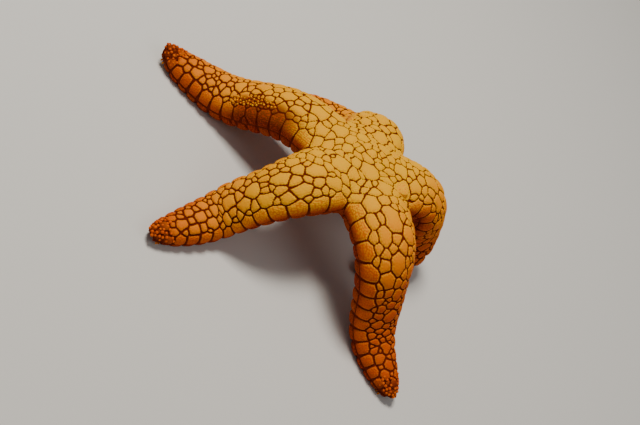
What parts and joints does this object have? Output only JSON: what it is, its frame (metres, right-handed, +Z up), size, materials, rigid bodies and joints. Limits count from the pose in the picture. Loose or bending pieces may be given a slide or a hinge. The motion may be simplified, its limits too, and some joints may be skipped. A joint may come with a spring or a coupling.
{
  "type": "starfish",
  "caption": "Sea star arched over the floor on bent, plated arms, with grooves and a mouth beneath and a sieve plate off the middle of its disc.",
  "frame": {"origin": "centre of the bounding box, on the floor under the raised disc", "axes": "+Z up from the floor; +X towards the side of arm C, away from arm A; arm B points towards -Y"},
  "size_m": [0.069, 0.0519, 0.0189],
  "materials": {
    "disc": "matte, finely granular plates over dark grooves",
    "arm": "matte, finely granular plates over dark grooves",
    "arm_tip": "matte, rough with small tubercles",
    "madreporite": "matte, finely furrowed"
  },
  "bodies": {
    "root": {"disc": "disc", "madreporite": "madreporite", "arm_a_base": "arm", "arm_a_middle": "arm", "arm_a_outer": "arm", "arm_a_tip": "arm_tip", "arm_b_base": "arm", "arm_b_middle": "arm", "arm_b_outer": "arm", "arm_b_tip": "arm_tip", "arm_c_base": "arm", "arm_c_middle": "arm", "arm_c_outer": "arm", "arm_c_tip": "arm_tip", "arm_d_base": "arm", "arm_d_middle": "arm", "arm_d_outer": "arm", "arm_d_tip": "arm_tip", "arm_e_base": "arm", "arm_e_middle": "arm", "arm_e_outer": "arm", "arm_e_tip": "arm_tip"}
  },
  "joints": []
}
